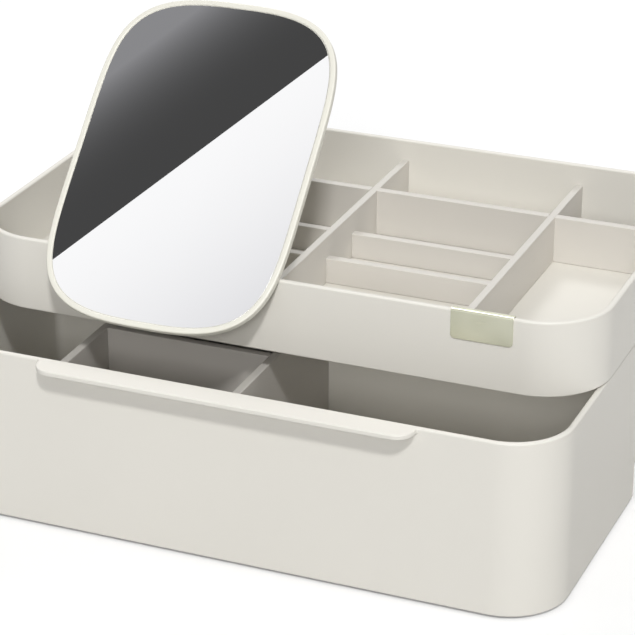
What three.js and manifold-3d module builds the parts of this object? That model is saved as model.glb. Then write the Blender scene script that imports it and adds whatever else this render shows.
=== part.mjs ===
import * as THREE from "three";
import { mergeVertices } from "three/addons/utils/BufferGeometryUtils.js";
import Module from "manifold-3d";

// Millimetres. X runs across the box, Y runs back from the front wall of the tray, Z up from the table.

// Shell
const bodyWidth = 320;
const bodyDepth = 200;
const cornerRadius = 33.5;
const wall = 3;
const rimRound = 0.8;
const halfWidth = bodyWidth / 2;
const innerHalf = halfWidth - wall;
const innerCorner = cornerRadius - wall;

// Clearances
const fitGap = 0.3;
const slideGap = 0.4;
const overrun = 2;
const bite = 0.6;

// Heights, from the table up
const plateLift = 2.2;
const plateThickness = 2.8;
const plateTop = plateLift + plateThickness;
const skirtLift = 1.2;
const runnerHeight = 2.6;
const drawerFloorUnder = plateTop + slideGap + runnerHeight;
const drawerFloorThickness = 2.4;
const drawerFloorTop = drawerFloorUnder + drawerFloorThickness;
const drawerRim = 89.2;
const partingGap = 0.8;
const trayUnder = drawerRim + partingGap;
const trayHeight = 37.4;
const trayRim = trayUnder + trayHeight;
const trayFloorThickness = 2;
const trayFloorTop = trayUnder + trayFloorThickness;
const dividerDrop = 11;
const trayDividerTop = trayRim - dividerDrop;
const lowWallTop = 105.3;

// Drawer
const drawerInset = 0.8;
const drawerHalf = halfWidth - drawerInset;
const drawerInnerHalf = drawerHalf - wall;
const drawerCorner = 30;
const drawerBackCorner = 1.5;
const drawerInnerBackCorner = 4;
const rearRoom = 64.3;
const drawerDepth = bodyDepth - rearRoom;
const drawerPulled = 47.7;
const drawerFront = -drawerPulled;
const drawerBack = drawerFront + drawerDepth;
const lipHalf = 94.5;
const lipReach = 10.8;
const lipThickness = 2.5;
const lipFlare = 1.6;
const lipCorner = lipReach - lipFlare;
const lipRound = 0.6;
const runnerX = 110;
const runnerWidth = 4;
const runnerInset = 8;
const guideShares = [0.18, 0.48, 0.78];
const guideLength = 6;
const guideLift = 0.8;
const drawerStopX = 60;
const drawerStopWidth = 10;
const drawerStopThickness = 3;
const drawerStopInset = 5;
const drawerPlate = 4.1;
const drawerDividerTop = drawerRim - dividerDrop;
const drawerDividerLeftX = -94.2;
const drawerDividerRightX = -3.9;
const drawerCrossRun = drawerDepth / 2;
const drawerCrossY = drawerFront + drawerCrossRun;
const drawerCrossReach = 1.1;

// Base plate
const plateSideInset = 7;
const plateHalf = innerHalf - plateSideInset;
const plateFront = 4;
const plateBackInset = 8;
const plateBack = bodyDepth - plateBackInset;
const plateCorner = 22;
const tongueLength = 32;
const tongueMargin = 3;
const tongueSlit = 1.4;
const catchInset = 4;
const catchThickness = 4;
const catchHeight = 2.4;
const footRadius = 6;
const footPocket = 1;
const footInset = 18;
const footFrontInset = 14;
const footX = plateHalf - footInset;
const footFrontY = plateFront + footFrontInset;
const footBackY = plateBack - footInset;

// Rear housing
const housingFront = drawerDepth + fitGap + partingGap;
const housingFrontCorner = 2;
const housingTop = trayUnder - fitGap;
const housingFloorUnder = plateTop + fitGap;
const housingFloorThickness = 2.6;
const housingFloorTop = housingFloorUnder + housingFloorThickness;
const partition = 2.6;
const columnRadius = 4.5;
const bossRadius = 4.5;
const bossHeight = 12;

// Tray dividers, placed by their centre lines
const longPlate = 3.7;
const crossPlate = 4.4;
const sideColumn = 64.3;
const rightDividerX = innerHalf - sideColumn;
const middleDividerX = -3.5;
const leftDividerX = -rightDividerX;
const longDividers = [leftDividerX, middleDividerX, rightDividerX];
const rearCell = 45.1;
const middleCell = 34;
const slimCell = 34.6;
const rearWallY = bodyDepth - wall - rearCell;
const middleWallY = rearWallY - middleCell;
const frontWallY = middleWallY - slimCell;
const footTab = 12;
const wellLedge = 2;
const wellCorner = 3;
const wellBackCorner = innerCorner - wellLedge;

// Screws
const shankRadius = 1.4;
const headRadius = 2.8;
const headHeight = 1.6;
const trayScrewLength = 12;
const baseScrewLength = 11;
const screwTipShare = 0.5;
const tipLength = 1.5;
const screwInset = 14;
const trayScrewX = rightDividerX / 2;
const trayScrewY = bodyDepth - wall - rearCell / 2;
const baseScrewX = rightDividerX - screwInset;
const baseScrewFrontY = housingFront + screwInset;
const baseScrewBackY = bodyDepth - wall - screwInset;

// Badge
const badgeInset = 37.3;
const badgeWidth = 30;
const badgeLeft = halfWidth - badgeInset - badgeWidth;
const badgeDrop = 14;
const badgeFold = 3;
const badgeSheet = 0.4;
const badgeCorner = 2.2;
const badgeGap = 0.2;

// Mirror
const mirrorTilt = THREE.MathUtils.degToRad(44);
const mirrorInset = 108.3;
const mirrorX = mirrorInset - halfWidth;
const mirrorHalfWidth = 61.3;
const mirrorHalfHeight = 85.8;
const mirrorAcross = 3;
const mirrorUp = 5;
const mirrorRise = 50.2;
const mirrorThickness = 3.8;
const mirrorEdge = 0.8;
const mirrorLip = 2.8;
const pocketDepth = 2.6;
const glassRecess = 0.3;
const glassThickness = 1.5;
const tapeThickness = 0.4;
const tapeMargin = 6;
const tapeGap = 0.2;
const hookWidth = 44;
const hookSheet = 2.4;
const hookReach = 36;
const hookLegLength = 16;
const gussetX = 14;
const gussetWidth = 2.4;
const gussetRise = 28;
const gussetDrop = 9;
const stakeRadius = 2;
const stakeX = 8;
const stakeRise = 24;
const stakeProud = 0.8;

// Facets
const cornerFacets = 8;
const roundFacets = 20;
const mirrorFacets = 88;
const edgeFacets = 2;

// Halfway along Y, so that the whole object is centred over its origin
const centreY = (bodyDepth + drawerFront - lipReach) / 2;

const kernel = await Module();
kernel.setup();

// Turns a geometry into a solid that can be joined and cut.
function solidOf(geometry) {
  const bare = geometry.index ? geometry.toNonIndexed() : geometry;
  bare.deleteAttribute("normal");
  bare.deleteAttribute("uv");
  const merged = mergeVertices(bare);
  return new kernel.Manifold(
    new kernel.Mesh({
      numProp: 3,
      vertProperties: merged.attributes.position.array,
      triVerts: new Uint32Array(merged.index.array),
    }),
  );
}

function join(...solids) {
  return solids.reduce((whole, solid) => whole.add(solid));
}

function cut(body, ...tools) {
  return tools.length ? body.subtract(join(...tools)) : body;
}

function block(left, right, front, back, low, high) {
  const geometry = new THREE.BoxGeometry(right - left, back - front, high - low);
  geometry.translate((left + right) / 2, (front + back) / 2, (low + high) / 2);
  return solidOf(geometry);
}

// Four-cornered outline with its own radius at the front and at the back corners
function outline(left, right, front, back, frontRadius, backRadius) {
  const shape = new THREE.Shape();
  const quarter = Math.PI / 2;
  const corners = [
    [right - frontRadius, front + frontRadius, frontRadius],
    [right - backRadius, back - backRadius, backRadius],
    [left + backRadius, back - backRadius, backRadius],
    [left + frontRadius, front + frontRadius, frontRadius],
  ];
  corners.forEach(([x, y, radius], i) => {
    shape.absarc(x, y, radius, (i - 1) * quarter, i * quarter);
  });
  return shape;
}

function prism(shape, low, high) {
  const depth = high - low;
  const geometry = new THREE.ExtrudeGeometry(shape, { depth, bevelEnabled: false, curveSegments: cornerFacets });
  geometry.translate(0, 0, low);
  return solidOf(geometry);
}

// A prism whose upper and lower edges are rounded; the shape is the one at half height.
function softPrism(shape, low, high, round) {
  const geometry = new THREE.ExtrudeGeometry(shape, {
    depth: high - low - 2 * round,
    bevelThickness: round,
    bevelSize: round,
    bevelOffset: -round,
    bevelSegments: edgeFacets,
    curveSegments: cornerFacets,
  });
  geometry.translate(0, 0, low + round);
  return solidOf(geometry);
}

// Extrudes a profile drawn in Y and Z along X.
function extrudeAcross(points, left, right) {
  const shape = new THREE.Shape(points.map(([y, z]) => new THREE.Vector2(y, z)));
  const geometry = new THREE.ExtrudeGeometry(shape, { depth: right - left, bevelEnabled: false });
  const along = new THREE.Matrix4().makeBasis(
    new THREE.Vector3(0, 1, 0),
    new THREE.Vector3(0, 0, 1),
    new THREE.Vector3(1, 0, 0),
  );
  geometry.applyMatrix4(along);
  geometry.translate(left, 0, 0);
  return solidOf(geometry);
}

// A turned piece standing on a point, from a profile of radius and height.
function turned(profile, x, y, z) {
  const points = profile.map(([radius, height]) => new THREE.Vector2(radius, height));
  const geometry = new THREE.LatheGeometry(points, roundFacets);
  geometry.rotateX(Math.PI / 2);
  geometry.translate(x, y, z);
  return solidOf(geometry);
}

function rod(radius, x, y, low, high) {
  const height = high - low;
  return turned([[0, 0], [radius, 0], [radius, height], [0, height]], x, y, low);
}

// Places every pair of mirrored positions.
function bothSides(values) {
  return values.flatMap((value) => [-value, value]);
}

// Screws

function screwProfile(length, gap) {
  const shank = shankRadius + gap;
  const head = headRadius + gap;
  return [
    [0, -length - gap],
    [shank * screwTipShare, -length - gap],
    [shank, -length + tipLength],
    [shank, -headHeight],
    [head, -gap],
    [head, 0],
    [0, 0],
  ];
}

// Countersunk screw with its head up, and the room that it needs
function screwDown(length, x, y, z) {
  return turned(screwProfile(length, 0), x, y, z);
}

function screwDownRoom(length, x, y, z) {
  return join(turned(screwProfile(length, fitGap), x, y, z), rod(headRadius + fitGap, x, y, z - fitGap, z + overrun));
}

function flipped(solid, z) {
  return solid.translate([0, 0, -z]).rotate([180, 0, 0]).translate([0, 0, z]);
}

function screwUp(x, y) {
  return flipped(screwDown(baseScrewLength, x, -y, plateLift), plateLift);
}

function screwUpRoom(x, y) {
  return flipped(screwDownRoom(baseScrewLength, x, -y, plateLift), plateLift);
}

const trayScrewSpots = bothSides([trayScrewX]).map((x) => [x, trayScrewY]);
const baseScrewSpots = [baseScrewFrontY, baseScrewBackY].flatMap((y) => bothSides([baseScrewX]).map((x) => [x, y]));
const footSpots = [footFrontY, footBackY].flatMap((y) => bothSides([footX]).map((x) => [x, y]));
const trayScrewTop = trayFloorTop - fitGap;

// Tabs under a divider that drop through the floor, and the slots for them

function tabsAlongY(x, centres, thickness, low, high, gap) {
  const half = thickness / 2 + gap;
  return centres.map((y) => block(x - half, x + half, y - footTab / 2 - gap, y + footTab / 2 + gap, low, high));
}

function tabsAlongX(y, centres, thickness, low, high, gap) {
  const half = thickness / 2 + gap;
  return centres.map((x) => block(x - footTab / 2 - gap, x + footTab / 2 + gap, y - half, y + half, low, high));
}

const longTabCentres = [frontWallY / 2, (middleWallY + rearWallY) / 2];
const crossTabCentres = [(leftDividerX + middleDividerX) / 2, (middleDividerX + rightDividerX) / 2];
const crossWallsY = [rearWallY, middleWallY, frontWallY];
const drawerTabCentres = [drawerFront + drawerCrossRun / 2, drawerBack - drawerCrossRun / 2];
const drawerCrossTabX = [(drawerDividerLeftX + drawerDividerRightX) / 2];

// Tray and its dividers

function trayWell(side, low, high) {
  const near = rightDividerX + longPlate / 2 + wellLedge;
  const far = innerHalf - wellLedge;
  const front = rearWallY + crossPlate / 2 + wellLedge;
  const back = bodyDepth - wall - wellLedge;
  const shape = new THREE.Shape();
  const quarter = Math.PI / 2;
  shape.absarc(far - wellCorner, front + wellCorner, wellCorner, -quarter, 0);
  shape.absarc(far - wellBackCorner, back - wellBackCorner, wellBackCorner, 0, quarter);
  shape.absarc(near + wellCorner, back - wellCorner, wellCorner, quarter, 2 * quarter);
  shape.absarc(near + wellCorner, front + wellCorner, wellCorner, 2 * quarter, 3 * quarter);
  const solid = prism(shape, low, high);
  return side < 0 ? solid.mirror([1, 0, 0]) : solid;
}

function topTray() {
  const ring = outline(-halfWidth, halfWidth, 0, bodyDepth, cornerRadius, cornerRadius);
  ring.holes.push(outline(-innerHalf, innerHalf, wall, bodyDepth - wall, innerCorner, innerCorner));
  const inset = wall / 2;
  const floorHalf = halfWidth - inset;
  const floorCorner = cornerRadius - inset;
  const floor = outline(-floorHalf, floorHalf, inset, bodyDepth - inset, floorCorner, floorCorner);
  const low = trayUnder - overrun;
  const high = trayFloorTop + overrun;
  const slots = [
    ...longDividers.flatMap((x) => tabsAlongY(x, longTabCentres, longPlate, low, high, fitGap)),
    ...crossWallsY.flatMap((y) => tabsAlongX(y, crossTabCentres, crossPlate, low, high, fitGap)),
  ];
  const screws = trayScrewSpots.map(([x, y]) => screwDownRoom(trayScrewLength, x, y, trayScrewTop));
  return cut(
    join(softPrism(ring, trayUnder, trayRim, rimRound), prism(floor, trayUnder, trayFloorTop)),
    trayWell(1, low, high),
    trayWell(-1, low, high),
    ...slots,
    ...screws,
  );
}

// The rear wall laps the plates along Y at half height; the two low walls pass under them.
const trayLap = (trayFloorTop + trayDividerTop) / 2;

// Notch in a plate along Y for a wall across, open below
function notchBelow(x, y, high) {
  const along = longPlate / 2 + overrun;
  const half = crossPlate / 2 + fitGap;
  return block(x - along, x + along, y - half, y + half, trayUnder - overrun, high + fitGap);
}

// Notch in the rear wall for a plate along Y, open above
function notchAbove(x) {
  const half = longPlate / 2 + fitGap;
  const across = crossPlate / 2 + overrun;
  const low = trayLap - fitGap;
  return block(x - half, x + half, rearWallY - across, rearWallY + across, low, trayDividerTop + overrun);
}

function longDivider(x) {
  const low = trayFloorTop + fitGap;
  const half = longPlate / 2;
  const plate = block(x - half, x + half, wall + fitGap, bodyDepth - wall - fitGap, low, trayDividerTop);
  const tabs = tabsAlongY(x, longTabCentres, longPlate, trayUnder + fitGap, low + bite, 0);
  return cut(
    join(plate, ...tabs),
    notchBelow(x, rearWallY, trayLap),
    notchBelow(x, middleWallY, lowWallTop),
    notchBelow(x, frontWallY, lowWallTop),
  );
}

function crossWall(y, left, right, high) {
  const low = trayFloorTop + fitGap;
  const plate = block(left, right, y - crossPlate / 2, y + crossPlate / 2, low, high);
  return join(plate, ...tabsAlongX(y, crossTabCentres, crossPlate, trayUnder + fitGap, low + bite, 0));
}

function rearWall() {
  const reach = innerHalf - fitGap;
  return cut(crossWall(rearWallY, -reach, reach, trayDividerTop), ...longDividers.map(notchAbove));
}

// Its ends lie flush with the outer faces of the left and right dividers.
function lowWall(y) {
  return crossWall(y, leftDividerX - longPlate / 2, rightDividerX + longPlate / 2, lowWallTop);
}

// Rear housing and base

function rearHousing() {
  const outer = outline(-halfWidth, halfWidth, housingFront, bodyDepth, housingFrontCorner, cornerRadius);
  const room = outline(
    -innerHalf,
    innerHalf,
    housingFront + wall,
    bodyDepth - wall,
    housingFrontCorner,
    innerCorner,
  );
  const columns = trayScrewSpots.map(([x, y]) => rod(columnRadius, x, y, housingFloorUnder, housingTop + overrun));
  const bossTop = housingFloorTop + bossHeight;
  const bosses = baseScrewSpots.map(([x, y]) => rod(bossRadius, x, y, housingFloorUnder, bossTop));
  const partitions = [leftDividerX, rightDividerX].map((x) =>
    block(x - partition / 2, x + partition / 2, housingFront, bodyDepth, housingFloorUnder, housingTop + overrun),
  );
  const cavity = cut(prism(room, housingFloorTop, housingTop + overrun), ...columns, ...bosses, ...partitions);
  const passageHalf = plateHalf + fitGap;
  return cut(
    prism(outer, skirtLift, housingTop),
    cavity,
    prism(room, skirtLift - overrun, housingFloorUnder),
    block(
      -passageHalf,
      passageHalf,
      housingFront - overrun,
      housingFront + wall + cornerRadius,
      skirtLift - overrun,
      housingFloorUnder,
    ),
    ...trayScrewSpots.map(([x, y]) => screwDownRoom(trayScrewLength, x, y, trayScrewTop)),
    ...baseScrewSpots.map(([x, y]) => screwUpRoom(x, y)),
  );
}

function basePlate() {
  const shape = outline(-plateHalf, plateHalf, plateFront, plateBack, plateCorner, plateCorner);
  const catches = bothSides([drawerStopX]).map((x) =>
    block(
      x - drawerStopWidth / 2,
      x + drawerStopWidth / 2,
      plateFront + catchInset,
      plateFront + catchInset + catchThickness,
      plateTop - bite,
      plateTop + catchHeight,
    ),
  );
  const slits = bothSides([drawerStopX]).flatMap((x) =>
    bothSides([drawerStopWidth / 2 + tongueMargin]).map((offset) =>
      block(
        x + offset - tongueSlit / 2,
        x + offset + tongueSlit / 2,
        plateFront - overrun,
        plateFront + tongueLength,
        plateLift - overrun,
        plateTop + overrun,
      ),
    ),
  );
  return cut(
    join(prism(shape, plateLift, plateTop), ...catches),
    ...slits,
    ...footSpots.map(([x, y]) => rod(footRadius + fitGap, x, y, plateLift - overrun, plateLift + footPocket)),
    ...baseScrewSpots.map(([x, y]) => screwUpRoom(x, y)),
  );
}

function foot(x, y) {
  return rod(footRadius, x, y, 0, plateLift + footPocket - fitGap);
}

// Drawer

// The lip meets the wall in a small hollow curve at each end.
function drawerLip() {
  const front = drawerFront - lipReach;
  const back = drawerFront + wall / 2;
  const foot = lipHalf + lipFlare;
  const quarter = Math.PI / 2;
  const shape = new THREE.Shape();
  shape.moveTo(foot, back + overrun);
  shape.lineTo(-foot, back + overrun);
  shape.absarc(-foot, drawerFront - lipFlare, lipFlare, quarter, 0, true);
  shape.absarc(lipCorner - lipHalf, front + lipCorner, lipCorner, 2 * quarter, 3 * quarter);
  shape.absarc(lipHalf - lipCorner, front + lipCorner, lipCorner, 3 * quarter, 2 * Math.PI);
  shape.absarc(foot, drawerFront - lipFlare, lipFlare, 2 * quarter, quarter, true);
  const trim = block(-halfWidth, halfWidth, back, back + 2 * overrun, 0, trayRim);
  return cut(softPrism(shape, drawerRim - lipThickness, drawerRim, lipRound), trim);
}

function drawerUnderside() {
  const high = drawerFloorUnder + bite;
  const runners = bothSides([runnerX]).map((x) =>
    block(
      x - runnerWidth / 2,
      x + runnerWidth / 2,
      drawerFront + runnerInset,
      drawerBack - runnerInset,
      plateTop + slideGap,
      high,
    ),
  );
  const stops = bothSides([drawerStopX]).map((x) =>
    block(
      x - drawerStopWidth / 2,
      x + drawerStopWidth / 2,
      drawerBack - drawerStopInset - drawerStopThickness,
      drawerBack - drawerStopInset,
      plateTop + slideGap,
      high,
    ),
  );
  const guides = guideShares.flatMap((share) => {
    const front = drawerFront + share * drawerDepth;
    const near = plateHalf + slideGap;
    const low = skirtLift + guideLift;
    return [
      block(near, drawerInnerHalf + bite, front, front + guideLength, low, high),
      block(-drawerInnerHalf - bite, -near, front, front + guideLength, low, high),
    ];
  });
  return [...runners, ...stops, ...guides];
}

function drawerBox() {
  const ring = outline(-drawerHalf, drawerHalf, drawerFront, drawerBack, drawerCorner, drawerBackCorner);
  const room = outline(
    -drawerInnerHalf,
    drawerInnerHalf,
    drawerFront + wall,
    drawerBack - wall,
    drawerCorner - wall,
    drawerInnerBackCorner,
  );
  ring.holes.push(room);
  const inset = wall / 2;
  const floorHalf = drawerHalf - inset;
  const floor = outline(-floorHalf, floorHalf, drawerFront + inset, drawerBack - inset, drawerCorner - inset, 0);
  const low = drawerFloorUnder - overrun;
  const high = drawerFloorTop + overrun;
  const passageHalf = plateHalf + slideGap;
  const passage = block(
    -passageHalf,
    passageHalf,
    drawerBack - wall - bite,
    drawerBack + overrun,
    skirtLift - overrun,
    drawerFloorUnder,
  );
  return cut(
    join(
      cut(softPrism(ring, skirtLift, drawerRim, rimRound), passage),
      prism(floor, drawerFloorUnder, drawerFloorTop),
      drawerLip(),
      ...drawerUnderside(),
    ),
    ...[drawerDividerLeftX, drawerDividerRightX].flatMap((x) =>
      tabsAlongY(x, drawerTabCentres, drawerPlate, low, high, fitGap),
    ),
    ...tabsAlongX(drawerCrossY, drawerCrossTabX, drawerPlate, low, high, fitGap),
  );
}

// The cross wall stands in a blind groove of each divider; the groove is open below.
function drawerDivider(x, side) {
  const low = drawerFloorTop + fitGap;
  const front = drawerFront + wall + fitGap;
  const back = drawerBack - wall - fitGap;
  const half = drawerPlate / 2;
  const plate = block(x - half, x + half, front, back, low, drawerDividerTop);
  const tabs = tabsAlongY(x, drawerTabCentres, drawerPlate, drawerFloorUnder + fitGap, low + bite, 0);
  const sides = [half - drawerCrossReach - fitGap, half + overrun].map((reach) => x + side * reach);
  const groove = block(
    Math.min(...sides),
    Math.max(...sides),
    drawerCrossY - half - fitGap,
    drawerCrossY + half + fitGap,
    drawerFloorUnder - overrun,
    drawerDividerTop + overrun,
  );
  return cut(join(plate, ...tabs), groove);
}

function drawerCross() {
  const low = drawerFloorTop + fitGap;
  const half = drawerPlate / 2;
  const left = drawerDividerLeftX + half - drawerCrossReach;
  const right = drawerDividerRightX - half + drawerCrossReach;
  const plate = block(left, right, drawerCrossY - half, drawerCrossY + half, low, drawerDividerTop);
  const tabLow = drawerFloorUnder + fitGap;
  return join(plate, ...tabsAlongX(drawerCrossY, drawerCrossTabX, drawerPlate, tabLow, low + bite, 0));
}

// Badge folded over the rim of the tray

function badge() {
  const right = badgeLeft + badgeWidth;
  const bottom = trayRim - badgeDrop;
  const top = trayRim + badgeGap + badgeSheet;
  const front = -badgeGap - badgeSheet;
  const leaf = outline(badgeLeft, right, bottom, top, badgeCorner, 0);
  const face = new THREE.ExtrudeGeometry(leaf, {
    depth: badgeSheet,
    bevelEnabled: false,
    curveSegments: cornerFacets,
  });
  face.rotateX(Math.PI / 2);
  face.translate(0, front + badgeSheet, 0);
  const back = wall + badgeGap + badgeSheet;
  return join(
    solidOf(face),
    block(badgeLeft, right, front, back, trayRim + badgeGap, top),
    block(badgeLeft, right, back - badgeSheet, back, trayRim - badgeFold, top),
  );
}

// Mirror, drawn on its own plane: X across, Y up along the plate, Z out of the glass

function mirrorOutline(inset) {
  const points = [];
  for (let i = 0; i < mirrorFacets; i++) {
    const angle = (i / mirrorFacets) * 2 * Math.PI;
    const across = Math.cos(angle);
    const up = Math.sin(angle);
    const x = (mirrorHalfWidth - inset) * Math.sign(across) * Math.abs(across) ** (2 / mirrorAcross);
    const y = (mirrorHalfHeight - inset) * Math.sign(up) * Math.abs(up) ** (2 / mirrorUp);
    points.push(new THREE.Vector2(x, y));
  }
  return new THREE.Shape(points);
}

// Carries a solid from the plane of the mirror to its leaning place on the rim.
function leaned(solid) {
  const up = new THREE.Vector3(0, Math.sin(mirrorTilt), Math.cos(mirrorTilt));
  const out = new THREE.Vector3(0, -Math.cos(mirrorTilt), Math.sin(mirrorTilt));
  const matrix = new THREE.Matrix4().makeBasis(new THREE.Vector3(1, 0, 0), up, out);
  const place = new THREE.Vector3(mirrorX, 0, trayRim);
  place.addScaledVector(up, mirrorRise).addScaledVector(out, fitGap);
  matrix.setPosition(place);
  return solid.transform(matrix.elements);
}

function mirrorFrame() {
  const pocketFloor = mirrorThickness - pocketDepth;
  const stakes = bothSides([stakeX]).map((x) =>
    rod(stakeRadius, x, stakeRise - mirrorRise, -fitGap - hookSheet - stakeProud, bite),
  );
  const plate = softPrism(mirrorOutline(0), 0, mirrorThickness, mirrorEdge);
  const pocket = prism(mirrorOutline(mirrorLip), pocketFloor, mirrorThickness + overrun);
  return leaned(cut(join(plate, ...stakes), pocket));
}

function mirrorGlass() {
  const front = mirrorThickness - glassRecess;
  return leaned(prism(mirrorOutline(mirrorLip + fitGap), front - glassThickness, front));
}

function mirrorTape() {
  const back = mirrorThickness - pocketDepth + tapeGap;
  return leaned(prism(mirrorOutline(mirrorLip + tapeMargin), back, back + tapeThickness));
}

// Point in Y and Z at a distance up the back of the mirror from the rim, and a distance behind it
function behindMirror(rise, behind) {
  const sine = Math.sin(mirrorTilt);
  const cosine = Math.cos(mirrorTilt);
  const depth = behind - fitGap;
  return [rise * sine + depth * cosine, trayRim + rise * cosine - depth * sine];
}

// Distance up the back of the mirror at which a line this far behind it meets a value of Y
function riseAt(y, behind) {
  return (y - (behind - fitGap) * Math.cos(mirrorTilt)) / Math.sin(mirrorTilt);
}

function mirrorHook() {
  const near = fitGap;
  const far = fitGap + hookSheet;
  const legFront = wall + slideGap;
  const legBack = legFront + hookSheet;
  const legLow = trayRim - hookLegLength;
  const sheet = [
    behindMirror(hookReach, near),
    behindMirror(riseAt(legFront, near), near),
    [legFront, legLow],
    [legBack, legLow],
    behindMirror(riseAt(legBack, far), far),
    behindMirror(hookReach, far),
  ];
  const gusset = [
    behindMirror(riseAt(legBack - bite, far - bite), far - bite),
    [legBack - bite, trayRim - gussetDrop],
    [legBack, trayRim - gussetDrop],
    behindMirror(gussetRise, far),
    behindMirror(gussetRise, far - bite),
  ];
  const gussets = bothSides([gussetX]).map((x) =>
    extrudeAcross(gusset, mirrorX + x - gussetWidth / 2, mirrorX + x + gussetWidth / 2),
  );
  const holes = bothSides([stakeX]).map((x) =>
    leaned(rod(stakeRadius + fitGap, x, stakeRise - mirrorRise, -far - overrun, bite)),
  );
  const half = hookWidth / 2;
  return cut(join(extrudeAcross(sheet, mirrorX - half, mirrorX + half), ...gussets), ...holes);
}

// Materials

function plastic(colour, roughness) {
  return new THREE.MeshStandardMaterial({ color: colour, roughness, metalness: 0 });
}

const ivoryShell = () => plastic("#E9E6DE", 0.42);
const ivoryDivider = () => plastic("#DEDAD1", 0.5);
const ivoryFrame = () => plastic("#EFEDE3", 0.35);
const greyRubber = () => plastic("#8B8A86", 0.9);
const whiteFoam = () => plastic("#DDDDD8", 0.95);
const silveredGlass = () => new THREE.MeshStandardMaterial({ color: "#C9CED2", roughness: 0.04, metalness: 1 });
const champagneMetal = () => new THREE.MeshStandardMaterial({ color: "#C9C6AE", roughness: 0.3, metalness: 0.9 });
const zincSteel = () => new THREE.MeshStandardMaterial({ color: "#A7A9AB", roughness: 0.4, metalness: 0.9 });

const organizer = new THREE.Group();

function place(name, solid, material) {
  const made = solid.getMesh();
  const geometry = new THREE.BufferGeometry();
  geometry.setAttribute("position", new THREE.BufferAttribute(made.vertProperties, made.numProp));
  geometry.setIndex(new THREE.BufferAttribute(made.triVerts, 1));
  geometry.translate(0, -centreY, 0);
  geometry.computeVertexNormals();
  const mesh = new THREE.Mesh(geometry, material);
  mesh.name = name;
  organizer.add(mesh);
}

place("top_tray", topTray(), ivoryShell());
place("rear_housing", rearHousing(), ivoryShell());
place("base_plate", basePlate(), ivoryShell());
place("badge_plate", badge(), champagneMetal());

place("tray_divider_left", longDivider(leftDividerX), ivoryDivider());
place("tray_divider_middle", longDivider(middleDividerX), ivoryDivider());
place("tray_divider_right", longDivider(rightDividerX), ivoryDivider());
place("tray_wall_rear", rearWall(), ivoryDivider());
place("tray_wall_middle", lowWall(middleWallY), ivoryDivider());
place("tray_wall_front", lowWall(frontWallY), ivoryDivider());

place("drawer_box", drawerBox(), ivoryShell());
place("drawer_divider_left", drawerDivider(drawerDividerLeftX, 1), ivoryDivider());
place("drawer_divider_right", drawerDivider(drawerDividerRightX, -1), ivoryDivider());
place("drawer_cross_wall", drawerCross(), ivoryDivider());

place("mirror_frame", mirrorFrame(), ivoryFrame());
place("mirror_glass", mirrorGlass(), silveredGlass());
place("mirror_tape", mirrorTape(), whiteFoam());
place("mirror_hook", mirrorHook(), ivoryFrame());

const sideNames = ["left", "right"];
trayScrewSpots.forEach(([x, y], i) => {
  place(`tray_screw_${sideNames[i]}`, screwDown(trayScrewLength, x, y, trayScrewTop), zincSteel());
});

const cornerNames = ["front_left", "front_right", "back_left", "back_right"];
baseScrewSpots.forEach(([x, y], i) => {
  place(`base_screw_${cornerNames[i]}`, screwUp(x, y), zincSteel());
});
footSpots.forEach(([x, y], i) => {
  place(`rubber_foot_${cornerNames[i]}`, foot(x, y), greyRubber());
});

export default organizer;
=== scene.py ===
import bpy
import bmesh
from math import sin, cos, pi, radians
from mathutils import Vector, Matrix


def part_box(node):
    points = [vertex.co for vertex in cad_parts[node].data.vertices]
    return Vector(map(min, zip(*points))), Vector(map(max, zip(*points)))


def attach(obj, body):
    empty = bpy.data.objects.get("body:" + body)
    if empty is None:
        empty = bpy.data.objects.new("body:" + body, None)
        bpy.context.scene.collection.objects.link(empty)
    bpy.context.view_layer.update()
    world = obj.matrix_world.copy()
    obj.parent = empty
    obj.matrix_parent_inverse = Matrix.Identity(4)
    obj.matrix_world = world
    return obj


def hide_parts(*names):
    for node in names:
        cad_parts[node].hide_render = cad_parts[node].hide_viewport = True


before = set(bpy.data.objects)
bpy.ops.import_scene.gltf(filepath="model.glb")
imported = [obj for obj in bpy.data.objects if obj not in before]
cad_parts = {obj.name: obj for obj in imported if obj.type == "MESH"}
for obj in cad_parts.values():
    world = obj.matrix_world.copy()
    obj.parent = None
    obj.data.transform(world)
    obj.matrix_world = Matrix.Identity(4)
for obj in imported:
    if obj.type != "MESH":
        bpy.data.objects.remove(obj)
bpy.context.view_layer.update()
mm = 0.001
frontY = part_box("top_tray")[0].y / mm  # front face of the tray; every y below counts back from it, in mm
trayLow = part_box("top_tray")[0].z / mm
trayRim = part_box("top_tray")[1].z / mm
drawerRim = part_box("drawer_box")[1].z / mm
scene = bpy.context.scene
print("frame loaded:", len(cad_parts), "solids")


# helpers for meshes

def hexColour(code):  # sRGB hex to linear
    parts = [int(code[i:i + 2], 16) / 255 for i in (1, 3, 5)]
    return tuple(c / 12.92 if c <= 0.04045 else ((c + 0.055) / 1.055) ** 2.4 for c in parts) + (1.0,)


def addNode(tree, kind, inputs=None, **settings):  # one node with its settings, values and links
    node = tree.nodes.new(kind)
    for key, value in settings.items():
        setattr(node, key, value)
    for key, value in (inputs or {}).items():
        socket = node.inputs[key]
        if isinstance(value, bpy.types.NodeSocket):
            tree.links.new(value, socket)
        else:
            socket.default_value = value
    return node


def newObject(name, mesh):
    made = bpy.data.objects.new(name, mesh)
    scene.collection.objects.link(made)
    return made


def meshFrom(name, bm):
    bmesh.ops.recalc_face_normals(bm, faces=bm.faces)
    mesh = bpy.data.meshes.new(name)
    bm.to_mesh(mesh)
    bm.free()
    return mesh


def evaluated(thing):  # the object's mesh after its modifiers, as a plain mesh
    bpy.context.view_layer.update()
    depsgraph = bpy.context.evaluated_depsgraph_get()
    return bpy.data.meshes.new_from_object(thing.evaluated_get(depsgraph))


def remove(*things):
    for thing in things:
        bpy.data.objects.remove(thing)


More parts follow.
